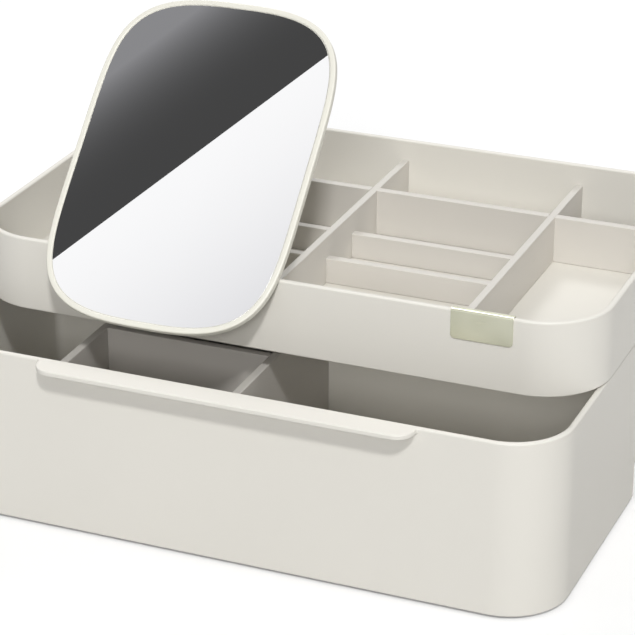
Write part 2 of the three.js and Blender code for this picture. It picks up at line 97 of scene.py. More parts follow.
def carve(mesh, cutter, operation="DIFFERENCE"):  # exact boolean, gives a new mesh
    body = newObject("carveBody", mesh)
    tool = newObject("carveTool", cutter)
    modifier = body.modifiers.new("carve", "BOOLEAN")
    modifier.operation = operation
    modifier.solver = "EXACT"
    modifier.use_self = operation == "UNION"
    modifier.object = tool
    result = evaluated(body)
    remove(body, tool)
    return result


def blocks(boxes, name="blocks"):  # several boxes as one mesh, each (x0, x1, y0, y1, z0, z1)
    bm = bmesh.new()
    for x0, x1, y0, y1, z0, z1 in boxes:
        size = Vector((x1 - x0, y1 - y0, z1 - z0))
        centre = Vector((x0 + x1, y0 + y1, z0 + z1)) / 2
        bmesh.ops.create_cube(bm, size=1, matrix=Matrix.Translation(centre) @ Matrix.Diagonal((*size, 1)))
    return meshFrom(name, bm)


def rods(spots, radius, low, high, steps=32):  # several upright rods as one mesh
    bm = bmesh.new()
    for x, y in spots:
        place = Matrix.Translation((x, y, (low + high) / 2))
        bmesh.ops.create_cone(bm, cap_ends=True, segments=steps, radius1=radius, radius2=radius,
                              depth=high - low, matrix=place)
    return meshFrom("rods", bm)


past = 2  # how far a cutter goes beyond the skin it opens
innerCorner = 1.2  # inside corner of a box that names none
loftWeld = 1e-4


def boxLoop(shape, inset, z):  # one level of a box with rounded corners, drawn in by inset
    left, right = shape["left"] + inset, shape["right"] - inset
    front, back = shape["front"] + inset, shape["back"] - inset
    least = shape.get("innerCorner", innerCorner) * min(inset / shape["wall"], 1)
    rf, rb = max(shape["frontCorner"] - inset, least), max(shape["backCorner"] - inset, least)
    centres = ((right - rf, front + rf, rf, -pi / 2), (right - rb, back - rb, rb, 0),
               (left + rb, back - rb, rb, pi / 2), (left + rf, front + rf, rf, pi))
    steps = shape["steps"]
    return [Vector((cx + r * cos(a + pi / 2 * i / steps), cy + r * sin(a + pi / 2 * i / steps), z))
            for cx, cy, r, a in centres for i in range(steps + 1)]


def loft(loops, name):  # a closed skin through the loops, capped at both ends
    bm = bmesh.new()
    rings = [[bm.verts.new(p) for p in loop] for loop in loops]
    count = len(rings[0])
    for lower, upper in zip(rings, rings[1:]):
        for i in range(count):
            j = (i + 1) % count
            bm.faces.new((lower[i], lower[j], upper[j], upper[i]))
    bm.faces.new(list(reversed(rings[0])))
    bm.faces.new(rings[-1])
    bmesh.ops.remove_doubles(bm, verts=bm.verts, dist=loftWeld)
    return meshFrom(name, bm)


quarterSteps = [pi / 8 * i for i in range(5)]  # a quarter turn in four steps


def roundedEdge(inset, z, radius, start, end, steps=4):  # a quarter turn of an edge as (inset, z) pairs
    return [(inset + radius * cos(start + (end - start) * i / steps),
             z + radius * sin(start + (end - start) * i / steps)) for i in range(steps + 1)]


smoothAngle = radians(35)  # edges sharper than this stay sharp


def finish(name, mesh, material, body, replaced):
    # shades a mesh, puts it in the frame of the solids and lets it ride on its body
    mesh.transform(Matrix.Translation((0, frontY * mm, 0)) @ Matrix.Scale(mm, 4))
    mesh.shade_smooth()
    mesh.set_sharp_from_angle(angle=smoothAngle)
    piece = newObject(name, mesh)
    weighted = piece.modifiers.new("faceWeights", "WEIGHTED_NORMAL")
    weighted.keep_sharp = True
    plain = evaluated(piece)
    piece.modifiers.clear()
    piece.data = plain
    plain.name = name
    plain.materials.clear()
    plain.materials.append(material)
    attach(piece, body)
    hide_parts(*replaced)


# finishes

blobAtScaleOne = 500  # mm across a blob of a noise of scale 1
pitAtScaleOne = 1000  # mm across a cell of a pattern of cells of scale 1


def scaleFor(sizeMm):  # noise scale whose blobs are about this many millimetres across
    return blobAtScaleOne / sizeMm


def startMaterial(name):
    material = bpy.data.materials.new(name)
    material.use_nodes = True
    tree = material.node_tree
    tree.nodes.clear()
    shader = addNode(tree, "ShaderNodeBsdfPrincipled")
    out = addNode(tree, "ShaderNodeOutputMaterial")
    tree.links.new(shader.outputs[0], out.inputs["Surface"])
    return material, tree, shader


def mouldedPlastic(name, look):
    # injection-moulded ABS: an even satin skin, a fine eroded grain and a faint drift of tone from the melt
    material, tree, shader = startMaterial(name)
    place = addNode(tree, "ShaderNodeTexCoord").outputs["Object"]
    flow = addNode(tree, "ShaderNodeTexNoise",
                   {"Vector": place, "Scale": scaleFor(look["flowMm"])}).outputs[0]
    grain = addNode(tree, "ShaderNodeTexNoise",
                    {"Vector": place, "Scale": scaleFor(look["grainMm"])}).outputs[0]
    drift = addNode(tree, "ShaderNodeMapRange", {"Value": flow, "From Min": look["driftMin"],
                                                 "From Max": look["driftMax"]}).outputs[0]
    mix = addNode(tree, "ShaderNodeMix", {0: drift, 6: hexColour(look["colour"]),
                                          7: hexColour(look["driftColour"])}, data_type="RGBA")
    tree.links.new(mix.outputs[2], shader.inputs["Base Color"])
    low, high = look["roughness"] - look["roughSpread"], look["roughness"] + look["roughSpread"]
    rough = addNode(tree, "ShaderNodeMapRange", {"Value": drift, "To Min": low, "To Max": high})
    tree.links.new(rough.outputs[0], shader.inputs["Roughness"])
    bump = addNode(tree, "ShaderNodeBump", {"Height": grain, "Strength": look["grainStrength"],
                                            "Distance": look["grainDepthMm"] * mm})
    tree.links.new(bump.outputs[0], shader.inputs["Normal"])
    shader.inputs["IOR"].default_value = look["ior"]
    return material


shellLook = {"colour": "#DEDBD3", "driftColour": "#DBD8D0", "driftMin": 0.25, "driftMax": 0.75, "flowMm": 70,
             "grainMm": 0.9, "grainDepthMm": 0.012, "grainStrength": 0.35, "roughness": 0.46,
             "roughSpread": 0.03, "ior": 1.53}
# the divider plates are the shell's ivory plastic painted darker: painted shade for the shadow that falls
# between the plates
shadedDividerLook = dict(shellLook, colour="#CFCBC4", driftColour="#CBC7C0", roughness=0.5)
frameLook = dict(shellLook, colour="#E0DED3", driftColour="#DEDCD1", roughness=0.34, grainStrength=0.2)
shellPlastic = mouldedPlastic("ivoryMouldedABS", shellLook)
shadedDividerPlastic = mouldedPlastic("ivoryABSWithPaintedShade", shadedDividerLook)
# the drawer's plates sit deep under the tray, so they carry a deeper painted shade of the same ivory plastic
deeperShadedDividerPlastic = mouldedPlastic("ivoryABSWithDeeperPaintedShade",
                                      dict(shadedDividerLook, colour="#C2BEB8", driftColour="#BEBAB4"))
framePlastic = mouldedPlastic("polishedIvoryABS", frameLook)


def brushedMetal(name, look):
    # champagne-anodised aluminium or zinc-plated steel: hair-fine lines along x draw the gloss out sideways
    material, tree, shader = startMaterial(name)
    place = addNode(tree, "ShaderNodeTexCoord").outputs["Object"]
    drawn = addNode(tree, "ShaderNodeMapping",
                    {"Vector": place, "Scale": (look["drawnOut"], 1, 1)}).outputs[0]
    brushing = addNode(tree, "ShaderNodeTexNoise",
                       {"Vector": drawn, "Scale": scaleFor(look["brushMm"])}).outputs[0]
    # broad patches mix in the darker drift colour: on the badge they are a painted reflection, on the zinc
    # screws a faint drift of tone
    patch = addNode(tree, "ShaderNodeTexNoise",
                    {"Vector": place, "Scale": scaleFor(look["reflectionAndTonePatchMm"])}).outputs[0]
    mix = addNode(tree, "ShaderNodeMix", {0: patch, 6: hexColour(look["colour"]),
                                          7: hexColour(look["driftColour"])}, data_type="RGBA")
    tree.links.new(mix.outputs[2], shader.inputs["Base Color"])
    rough = addNode(tree, "ShaderNodeMapRange", {"Value": brushing, "To Min": look["roughMin"],
                                                 "To Max": look["roughMax"]})
    tree.links.new(rough.outputs[0], shader.inputs["Roughness"])
    bump = addNode(tree, "ShaderNodeBump", {"Height": brushing, "Strength": look["brushStrength"],
                                            "Distance": look["brushDepthMm"] * mm})
    tree.links.new(bump.outputs[0], shader.inputs["Normal"])
    shader.inputs["Metallic"].default_value = 1.0
    return material


# the badge's dark olive drift colour is a painted reflection in the metal
badgeLook = {"colour": "#FAFAE6", "driftColour": "#BABAA0", "brushMm": 0.3, "reflectionAndTonePatchMm": 14, "roughMin": 0.18,
             "roughMax": 0.31, "drawnOut": 0.03, "brushStrength": 0.3, "brushDepthMm": 0.01}
zincLook = dict(badgeLook, colour="#B4B6B8", driftColour="#A5A7AA", brushMm=0.4, reflectionAndTonePatchMm=3, roughMin=0.3,
                roughMax=0.43)
champagneMetal = brushedMetal("champagneAnodisedAluminium", badgeLook)
zincSteel = brushedMetal("zincPlatedSteel", zincLook)


def silveredGlass(name, look):
    # float glass silvered on its back: a clean reflection, a touch cool, with faint wiping marks in its gloss
    material, tree, shader = startMaterial(name)
    place = addNode(tree, "ShaderNodeTexCoord").outputs["Object"]
    wiped = addNode(tree, "ShaderNodeMapping", {"Vector": place, "Scale": look["wipe"]}).outputs[0]
    smear = addNode(tree, "ShaderNodeTexNoise",
                    {"Vector": wiped, "Scale": scaleFor(look["smearMm"])}).outputs[0]
    mix = addNode(tree, "ShaderNodeMix", {0: smear, 6: hexColour(look["colour"]),
                                          7: hexColour(look["driftColour"])}, data_type="RGBA")
    tree.links.new(mix.outputs[2], shader.inputs["Base Color"])
    rough = addNode(tree, "ShaderNodeMapRange", {"Value": smear, "To Min": look["roughMin"],
                                                 "To Max": look["roughMax"]})
    tree.links.new(rough.outputs[0], shader.inputs["Roughness"])
    shader.inputs["Metallic"].default_value = 1.0
    return material


silverLook = {"colour": "#FAFAFB", "driftColour": "#F8F8F9", "smearMm": 18, "wipe": (1, 0.35, 0.35),
              "roughMin": 0.002, "roughMax": 0.006}
mirrorSilver = silveredGlass("silveredFloatGlass", silverLook)


def softSolid(name, look):
    # cast rubber or cell foam: dull, with a pebbled skin of small pits
    material, tree, shader = startMaterial(name)
    place = addNode(tree, "ShaderNodeTexCoord").outputs["Object"]
    pits = addNode(tree, "ShaderNodeTexVoronoi",
                   {"Vector": place, "Scale": pitAtScaleOne / look["pitMm"]}).outputs[0]
    cloud = addNode(tree, "ShaderNodeTexNoise",
                    {"Vector": place, "Scale": scaleFor(look["cloudMm"])}).outputs[0]
    mix = addNode(tree, "ShaderNodeMix", {0: cloud, 6: hexColour(look["colour"]),
                                          7: hexColour(look["driftColour"])}, data_type="RGBA")
    tree.links.new(mix.outputs[2], shader.inputs["Base Color"])
    bump = addNode(tree, "ShaderNodeBump", {"Height": pits, "Strength": look["pitStrength"],
                                            "Distance": look["pitDepthMm"] * mm})
    tree.links.new(bump.outputs[0], shader.inputs["Normal"])
    rough = addNode(tree, "ShaderNodeMapRange", {"Value": cloud, "To Min": look["roughMin"],
                                                 "To Max": look["roughMax"]})
    tree.links.new(rough.outputs[0], shader.inputs["Roughness"])
    return material


rubberLook = {"colour": "#8B8A86", "driftColour": "#7F7E7A", "pitMm": 0.6, "pitStrength": 0.4,
              "pitDepthMm": 0.05, "cloudMm": 6, "roughMin": 0.83, "roughMax": 0.9}
foamLook = dict(rubberLook, colour="#DDDDD8", driftColour="#D2D2CC", pitMm=0.5, cloudMm=4, roughMin=0.88,
                roughMax=0.95)
greyRubber = softSolid("castGreyRubber", rubberLook)
whiteFoam = softSolid("whiteAcrylicFoam", foamLook)
print("finishes ready")


# the open tray on top

tray = {"left": -160, "right": 160, "front": 0, "back": 200, "frontCorner": 33.5, "backCorner": 33.5,
        "steps": 20, "wall": 3, "floor": 2, "rimRound": 1.0, "footRound": 0.9, "innerFillet": 2.2,
        "wellNear": 96.55, "wellFar": 155, "wellFront": 156.1, "wellBack": 195, "wellCorner": 3,
        "wellBackCorner": 28.5, "wellSteps": 12, "screwSpots": [(-46.35, 174.45), (46.35, 174.45)],
        "screwHole": 3.1}


def trayProfile(t, low, rim, floorTop):
    wall, r, f, q = t["wall"], t["rimRound"], t["footRound"], t["innerFillet"]
    pairs = roundedEdge(f, low + f, f, -pi / 2, -pi)  # underside edge
    pairs += roundedEdge(r, rim - r, r, pi, pi / 2)  # outer half of the rim
    pairs += roundedEdge(wall - r, rim - r, r, pi / 2, 0)  # inner half of the rim
    pairs += [(wall + q - q * cos(a), floorTop + q - q * sin(a)) for a in quarterSteps]
    return pairs


def wellCutter(t, side, low, high):
    near, far, front, back = t["wellNear"], t["wellFar"], t["wellFront"], t["wellBack"]
    c, b, steps = t["wellCorner"], t["wellBackCorner"], t["wellSteps"]
    corners = ((far - c, front + c, c, -pi / 2), (far - b, back - b, b, 0),
               (near + c, back - c, c, pi / 2), (near + c, front + c, c, pi))
    loop = [(cx + r * cos(a + pi / 2 * i / steps), cy + r * sin(a + pi / 2 * i / steps))
            for cx, cy, r, a in corners for i in range(steps + 1)]
    return loft([[Vector((side * x, y, z)) for x, y in loop] for z in (low, high)], "wellCutter")


floorTop = trayLow + tray["floor"]
trayMesh = loft([boxLoop(tray, i, z) for i, z in trayProfile(tray, trayLow, trayRim, floorTop)], "openTray")
cutLow, cutHigh = trayLow - past, floorTop + past
for side in (-1, 1):
    trayMesh = carve(trayMesh, wellCutter(tray, side, cutLow, cutHigh))
trayMesh = carve(trayMesh, rods(tray["screwSpots"], tray["screwHole"], cutLow, cutHigh))
finish("openTray", trayMesh, shellPlastic, "housing", ["top_tray"])
print("tray made")


# dividers: one rule for every plate, then half laps where they cross

plateLook = {"long": 3.7, "cross": 4.4, "drawer": 4.1, "round": 0.45, "roundSteps": 3, "seam": 0.02,
             "footGap": 0.05}


def plateTree():
    tree = bpy.data.node_groups.new("dividerPlate", "GeometryNodeTree")
    face = tree.interface
    face.new_socket("Geometry", in_out="INPUT", socket_type="NodeSocketGeometry")
    for name in ("Length", "Height", "Thickness", "Edge Round"):
        face.new_socket(name, in_out="INPUT", socket_type="NodeSocketFloat")
    face.new_socket("Round Steps", in_out="INPUT", socket_type="NodeSocketInt")
    face.new_socket("Plastic", in_out="INPUT", socket_type="NodeSocketMaterial")
    face.new_socket("Geometry", in_out="OUTPUT", socket_type="NodeSocketGeometry")
    given = addNode(tree, "NodeGroupInput").outputs
    end = addNode(tree, "ShaderNodeCombineXYZ", {"X": given["Length"]}).outputs[0]
    run = addNode(tree, "GeometryNodeCurvePrimitiveLine", {"Start": (0, 0, 0), "End": end}).outputs[0]
    section = addNode(tree, "GeometryNodeCurvePrimitiveQuadrilateral",
                      {"Width": given["Thickness"], "Height": given["Height"]}).outputs[0]
    rounded = addNode(tree, "GeometryNodeFilletCurve", {"Curve": section, "Count": given["Round Steps"],
                                                        "Radius": given["Edge Round"]}, mode="POLY")
    swept = addNode(tree, "GeometryNodeCurveToMesh",
                    {"Curve": run, "Profile Curve": rounded.outputs[0], "Fill Caps": True}).outputs[0]
    real = addNode(tree, "GeometryNodeRealizeInstances", {"Geometry": swept}).outputs[0]
    painted = addNode(tree, "GeometryNodeSetMaterial",
                      {"Geometry": real, "Material": given["Plastic"]}).outputs[0]
    addNode(tree, "NodeGroupOutput", {"Geometry": painted})
    return tree


def grown(tree, base, values, name):  # runs a geometry tree on a base mesh and gives the plain mesh
    holder = newObject(name, base)
    modifier = holder.modifiers.new(name, "NODES")
    modifier.node_group = tree
    for item in tree.interface.items_tree:
        if item.item_type == "SOCKET" and item.in_out == "INPUT" and item.name in values:
            modifier[item.identifier] = values[item.name]
    result = evaluated(holder)
    holder.modifiers.clear()
    remove(holder)
    return result


dividerTree = plateTree()


def dividerPlate(along, place, start, end, low, high, thickness):
    # a plate along x or y, centred on place, from start to end
    mesh = grown(dividerTree, bpy.data.meshes.new("empty"),
                 {"Length": end - start, "Height": high - low, "Thickness": thickness,
                  "Edge Round": plateLook["round"], "Round Steps": plateLook["roundSteps"],
                  "Plastic": shadedDividerPlastic}, "dividerPlate")
    across = [v.co.y for v in mesh.vertices]
    lying = max(across) - min(across) > thickness + 1
    turn = Matrix.Rotation(pi / 2, 4, "X") if lying else Matrix.Identity(4)
    move = Matrix.Translation((start, place, (low + high) / 2))
    if along == "y":
        turn = Matrix.Rotation(pi / 2, 4, "Z") @ turn
        move = Matrix.Translation((place, start, (low + high) / 2))
    mesh.transform(move @ turn)
    return mesh


def lapCut(mesh, spots, low, high):  # notches where plates run through, as tight as the seam
    halfX, halfY = plateLook["long"] / 2 + plateLook["seam"], plateLook["cross"] / 2 + plateLook["seam"]
    for x, y in spots:
        mesh = carve(mesh, blocks([(x - halfX, x + halfX, y - halfY, y + halfY, low, high)]))
    return mesh


trayDividers = {"top": trayRim - 11, "lowTop": 105.3, "lap": 104.2, "left": -92.7, "middle": -3.5,
                "right": 92.7, "rearWall": 151.9, "middleWall": 117.9, "frontWall": 83.3, "gap": 0.3,
                "lapGap": 0.1}


def makeTrayDividers(d):
    low, top, lap, inset = floorTop + plateLook["footGap"], d["top"], d["lap"], tray["wall"] + d["gap"]
    back, side = tray["back"] - inset, tray["right"] - inset
    for place in ("left", "middle", "right"):
        x = d[place]
        mesh = dividerPlate("y", x, inset, back, low, top, plateLook["long"])
        mesh = lapCut(mesh, [(x, d["rearWall"])], low - past, lap)
        mesh = lapCut(mesh, [(x, d["middleWall"]), (x, d["frontWall"])], low - past, d["lowTop"] + d["lapGap"])
        finish("trayDivider" + place.capitalize(), mesh, shadedDividerPlastic, "housing",
               ["tray_divider_" + place])
    mesh = dividerPlate("x", d["rearWall"], -side, side, low, top, plateLook["cross"])
    mesh = lapCut(mesh, [(d[place], d["rearWall"]) for place in ("left", "middle", "right")], lap, top + past)
    finish("trayWallRear", mesh, shadedDividerPlastic, "housing", ["tray_wall_rear"])
    half = plateLook["long"] / 2
    for place in ("middle", "front"):
        mesh = dividerPlate("x", d[place + "Wall"], d["left"] - half, d["right"] + half, low, d["lowTop"],
                            plateLook["cross"])
        finish("trayWall" + place.capitalize(), mesh, shadedDividerPlastic, "housing",
               ["tray_wall_" + place])


makeTrayDividers(trayDividers)
print("tray dividers made")


# the drawer with its finger lip

drawer = {"left": -159.2, "right": 159.2, "front": -47.7, "back": 88.0, "frontCorner": 30, "backCorner": 1.5,
          "innerCorner": 4, "steps": 20, "wall": 3, "rimRound": 1.0, "footRound": 0.9, "innerFillet": 2.2,
          "low": 1.2, "floorUnder": 8, "floorTop": 10.4, "passage": 150.4, "passageDepth": 4}
lip = {"half": 94.5, "reach": 10.8, "root": 1.6, "thickness": 2.5, "corner": 9.2, "flare": 1.6, "edge": 0.6,
       "steps": 10}


def drawerProfile(d, rim):
    wall, r, f, q = d["wall"], d["rimRound"], d["footRound"], d["innerFillet"]
    pairs = [(wall, d["floorUnder"])]
    pairs += roundedEdge(wall - f, d["low"] + f, f, 0, -pi / 2)  # inside of the skirt
    pairs += roundedEdge(f, d["low"] + f, f, -pi / 2, -pi)
    pairs += roundedEdge(r, rim - r, r, pi, pi / 2)
    pairs += roundedEdge(wall - r, rim - r, r, pi / 2, 0)
    pairs += [(wall + q - q * cos(a), d["floorTop"] + q - q * sin(a)) for a in quarterSteps]
    return pairs


def lipLoop(l, inset, z, front, back):  # the lip seen from above, flaring out where it meets the wall
    corner, flare, half = l["corner"] - inset, l["flare"] + inset, l["half"]
    wallFace = front + l["reach"]
    points = []
    for i in range(l["steps"] + 1):
        a = pi / 2 * i / l["steps"]
        points.append((half - l["corner"] + corner * sin(a), front + l["corner"] - corner * cos(a)))
    for i in range(l["steps"] + 1):
        a = pi / 2 * i / l["steps"]
        points.append((half + l["flare"] - flare * cos(a), wallFace - l["flare"] + flare * sin(a)))
    points.append((half + l["flare"], back))
    mirrored = [(-x, y) for x, y in reversed(points)]
    return [Vector((x, y, z)) for x, y in points + mirrored]


def lipSolid(l, d, rim):
    e, low = l["edge"], rim - l["thickness"]
    levels = [(e * (1 - cos(a)), low + e - e * sin(a)) for a in (pi / 2, pi / 3, pi / 6, 0)]
    levels += [(e * (1 - cos(a)), rim - e + e * sin(a)) for a in quarterSteps]
    front, back = d["front"] - l["reach"], d["front"] + l["root"]
    return loft([lipLoop(l, inset, z, front, back) for inset, z in levels], "fingerLip")


drawerMesh = loft([boxLoop(drawer, i, z) for i, z in drawerProfile(drawer, drawerRim)], "drawerBox")
drawerMesh = carve(drawerMesh, lipSolid(lip, drawer, drawerRim), "UNION")
passage = (-drawer["passage"], drawer["passage"], drawer["back"] - drawer["passageDepth"],
           drawer["back"] + past, drawer["low"] - past, drawer["floorUnder"])
drawerMesh = carve(drawerMesh, blocks([passage]))
underside = {"top": 8.5, "low": 5.4, "inFrom": 8, "runnerX": 110, "runnerHalf": 2, "stopX": 60, "stopHalf": 5,
             "stopDepth": 3, "blockLow": 2, "blockNear": 150.4, "blockFar": 156.8, "blockDepth": 6,
             "blockShares": (0.18, 0.48, 0.78)}


def drawerUnderside(d, u):  # runners, stops and guide blocks under the floor
    boxes = []
    front, back, low, top = d["front"] + u["inFrom"], d["back"] - u["inFrom"], u["low"], u["top"]
    for s in (-1, 1):
        runner, stop = s * u["runnerX"], s * u["stopX"]
        boxes.append((runner - u["runnerHalf"], runner + u["runnerHalf"], front, back, low, top))
        boxes.append((stop - u["stopHalf"], stop + u["stopHalf"], back, back + u["stopDepth"], low, top))
        for share in u["blockShares"]:
            y = d["front"] + share * (d["back"] - d["front"])
            across = sorted((s * u["blockNear"], s * u["blockFar"]))
            boxes.append((*across, y, y + u["blockDepth"], u["blockLow"], top))
    return blocks(boxes)


drawerMesh = carve(drawerMesh, drawerUnderside(drawer, underside), "UNION")
finish("drawerBox", drawerMesh, shellPlastic, "drawer", ["drawer_box"])
print("drawer made")

drawerDividers = {"left": -94.2, "right": -3.9, "cross": 20.15, "top": drawerRim - 11, "gap": 0.3,
                  "endGap": 0.05}


def makeDrawerDividers(d):
    low, half = drawer["floorTop"] + plateLook["footGap"], plateLook["drawer"] / 2
    front, back = drawer["front"] + drawer["wall"] + d["gap"], drawer["back"] - drawer["wall"] - d["gap"]
    for place in ("left", "right"):
        mesh = dividerPlate("y", d[place], front, back, low, d["top"], plateLook["drawer"])
        finish("drawerDivider" + place.capitalize(), mesh, deeperShadedDividerPlastic, "drawer",
               ["drawer_divider_" + place])
    start, end = d["left"] + half + d["endGap"], d["right"] - half - d["endGap"]
    mesh = dividerPlate("x", d["cross"], start, end, low, d["top"], plateLook["drawer"])
    finish("drawerCrossWall", mesh, deeperShadedDividerPlastic, "drawer", ["drawer_cross_wall"])


makeDrawerDividers(drawerDividers)
print("drawer dividers made")


# rear housing under the tray

housing = {"left": -160, "right": 160, "front": 136.8, "back": 200, "frontCorner": 2, "backCorner": 33.5,
           "steps": 20, "wall": 3, "footRound": 0.9, "low": 1.2, "floorUnder": 5.3, "floorTop": 7.9,
           "top": trayLow - 0.3, "outerEdge": 0.4, "innerEdge": 0.3, "fillet": 1.5, "filletBend": 0.45,
           "partition": 2.6, "partitionX": 92.7, "partitionIn": 2, "partitionDrop": 0.02, "post": 4.5,
           "postDrop": 0.04, "sunk": 1, "passage": 150.3, "passageDepth": 8}


def makeHousing(h):
    wall, f, top, floor = h["wall"], h["footRound"], h["top"], h["floorTop"]
    outer, inner, fillet, bend = h["outerEdge"], h["innerEdge"], h["fillet"], h["filletBend"]
    pairs = [(wall, h["floorUnder"])]
    pairs += roundedEdge(wall - f, h["low"] + f, f, 0, -pi / 2)
    pairs += roundedEdge(f, h["low"] + f, f, -pi / 2, -pi)
    pairs += [(0, top - outer), (outer, top), (wall - inner, top), (wall, top - inner)]
    pairs += [(wall, floor + fillet), (wall + bend, floor + bend), (wall + fillet, floor)]
    mesh = loft([boxLoop(h, i, z) for i, z in pairs], "rearHousing")
    passage = (-h["passage"], h["passage"], h["front"] - past, h["front"] + h["passageDepth"],
               h["low"] - past, h["floorUnder"])
    mesh = carve(mesh, blocks([passage]))
    half, front, back = h["partition"] / 2, h["front"] + h["partitionIn"], h["back"] - h["partitionIn"]
    walls = [(x - half, x + half, front, back, floor - h["sunk"], top - h["partitionDrop"])
             for x in (-h["partitionX"], h["partitionX"])]
    mesh = carve(mesh, blocks(walls), "UNION")
    posts = rods(tray["screwSpots"], h["post"], floor - h["sunk"], top - h["postDrop"])
    mesh = carve(mesh, posts, "UNION")
    finish("rearHousing", mesh, shellPlastic, "housing", ["rear_housing"])


makeHousing(housing)
print("rear housing made")


# badge strip folded over the rim

badge = {"left": 92.7, "width": 30, "bottom": trayRim - 14, "sheet": 0.4, "gap": 0.2, "corner": 2.2,
         "cornerSteps": 8, "fold": 0.9, "foldSteps": 6, "columns": 3, "backDrop": 3, "edge": 0.1,
         "edgeSteps": 2, "edgeAngle": 50}


def makeBadge(b):
    # rows of the sheet's middle surface as (y, z, inset): down the front, over the rim and down the inside
    off = b["gap"] + b["sheet"] / 2
    rim, wall, r, corner = trayRim, tray["wall"], b["fold"], b["corner"]
    rows = []
    for i in (0, *range(2, b["cornerSteps"] + 1)):  # no second step: it would be thinner than the bevel
        a = pi / 2 * i / b["cornerSteps"]
        rows.append((-off, b["bottom"] + corner - corner * cos(a), corner - corner * sin(a)))
    for base, start in ((-off + r, pi), (wall + off - r, pi / 2)):
        for i in range(b["foldSteps"] + 1):
            a = start - pi / 2 * i / b["foldSteps"]
            rows.append((base + r * cos(a), rim + off - r + r * sin(a), 0.0))
    rows.append((wall + off, rim - b["backDrop"], 0.0))
    bm = bmesh.new()
    left, right, columns = b["left"], b["left"] + b["width"], b["columns"]
    grid = []
    for y, z, inset in rows:
        run = (right - left - 2 * inset) / columns
        grid.append([bm.verts.new((left + inset + run * i, y, z)) for i in range(columns + 1)])
    for lower, upper in zip(grid, grid[1:]):
        for i in range(columns):
            bm.faces.new((lower[i], lower[i + 1], upper[i + 1], upper[i]))
    sheet = newObject("badgeSheet", meshFrom("badgeSheet", bm))
    solid = sheet.modifiers.new("sheet", "SOLIDIFY")
    solid.thickness = b["sheet"]
    solid.offset = 0
    solid.use_even_offset = True
    bevel = sheet.modifiers.new("edges", "BEVEL")
    bevel.width = b["edge"]
    bevel.segments = b["edgeSteps"]
    bevel.limit_method = "ANGLE"
    bevel.angle_limit = radians(b["edgeAngle"])
    made = evaluated(sheet)
    remove(sheet)
    finish("badgeStrip", made, champagneMetal, "housing", ["badge_plate"])


makeBadge(badge)
print("badge made")


# mirror: frame, glass and tape share one rule, a superellipse whose levels are a profile

mirror = {"x": -51.7, "halfWidth": 61.3, "halfHeight": 85.8, "across": 3.0, "up": 5.0, "tilt": radians(44),
          "rise": 50.2, "thickness": 3.8, "edge": 0.8, "lip": 2.8, "lipRound": 0.6, "pocket": 2.6,
          "facets": 240, "gap": 0.3, "backIn": 3, "floorIn": 2}
stake = {"x": 8, "up": 24, "radius": 2, "end": -3.5, "root": 0.5}  # pegs that hold the hook
glass = {"sunk": 0.3, "back": 1.8, "gap": 0.04, "edgeIn": 0.3, "edgeUp": 0.2, "ground": 0.35, "faceIn": 1.5}
tape = {"gap": 0.2, "top": 0.6, "inset": 9.1, "edge": 0.1}
plateWeld = 0.0005



